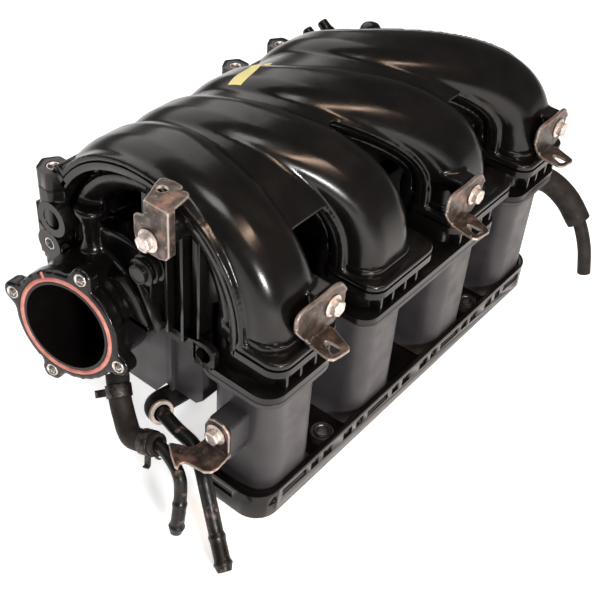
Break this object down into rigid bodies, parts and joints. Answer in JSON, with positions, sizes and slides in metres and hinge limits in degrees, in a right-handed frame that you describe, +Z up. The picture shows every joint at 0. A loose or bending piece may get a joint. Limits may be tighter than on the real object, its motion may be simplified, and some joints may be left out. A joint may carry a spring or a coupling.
{
  "type": "intake manifold",
  "caption": "Moulded plastic intake manifold for an inline engine: curved runners from a plenum with a throttle flange down to a head flange, with brackets, coolant pipes and hoses.",
  "frame": {"origin": "the middle of the row of ports, on the face that bolts to the cylinder head", "axes": "+X along the row of ports away from the throttle, +Y from the runners' front towards the plenum, +Z up, away from the head face"},
  "size_m": [0.4236, 0.2766, 0.2314],
  "materials": {
    "nylon_gloss": "semi-gloss moulded glass-filled nylon",
    "nylon_satin": "satin moulded glass-filled nylon",
    "silicone": "soft matte silicone",
    "insert_brass": "machined, slightly dulled",
    "limiter_steel": "turned, plain",
    "bracket_steel": "phosphated pressed sheet with worn edges",
    "bolt_zinc": "bright zinc plated",
    "pipe_paint": "black paint worn to bare metal at the ends",
    "clamp_steel": "dark spring steel",
    "hose_rubber": "matte extruded rubber"
  },
  "bodies": {
    "root": {"runner_cover": "nylon_gloss", "middle_shell": "nylon_gloss", "leg_shell": "nylon_satin", "plenum_tray": "nylon_satin", "port_seal_1": "silicone", "port_seal_2": "silicone", "port_seal_3": "silicone", "port_seal_4": "silicone", "throttle_seal": "silicone", "throttle_insert_1": "insert_brass", "throttle_insert_2": "insert_brass", "throttle_insert_3": "insert_brass", "throttle_insert_4": "insert_brass", "rear_boss_insert_1": "insert_brass", "rear_boss_insert_2": "insert_brass", "rear_boss_insert_3": "insert_brass", "sensor_insert": "insert_brass", "bracket_insert_1": "insert_brass", "bracket_insert_2": "insert_brass", "bracket_insert_3": "insert_brass", "corner_insert": "insert_brass", "pipe_bracket_insert": "insert_brass", "flange_limiter_1": "limiter_steel", "flange_limiter_2": "limiter_steel", "flange_limiter_3": "limiter_steel", "flange_limiter_4": "limiter_steel", "flange_limiter_5": "limiter_steel", "harness_bracket_1": "bracket_steel", "harness_bolt_1": "bolt_zinc", "harness_bracket_2": "bracket_steel", "harness_bolt_2": "bolt_zinc", "harness_bracket_3": "bracket_steel", "harness_bolt_3": "bolt_zinc", "corner_bracket": "bracket_steel", "corner_bolt": "bolt_zinc", "pipe_bracket": "bracket_steel", "pipe_bracket_bolt": "bolt_zinc", "coolant_pipe_a": "pipe_paint", "coolant_pipe_b": "pipe_paint", "coolant_hose_a": "hose_rubber", "coolant_hose_b": "hose_rubber", "vent_hose": "hose_rubber", "vent_hose_sleeve": "hose_rubber", "hose_a_clamp_1": "clamp_steel", "hose_a_clamp_2": "clamp_steel", "hose_b_clamp": "clamp_steel"}
  },
  "joints": []
}
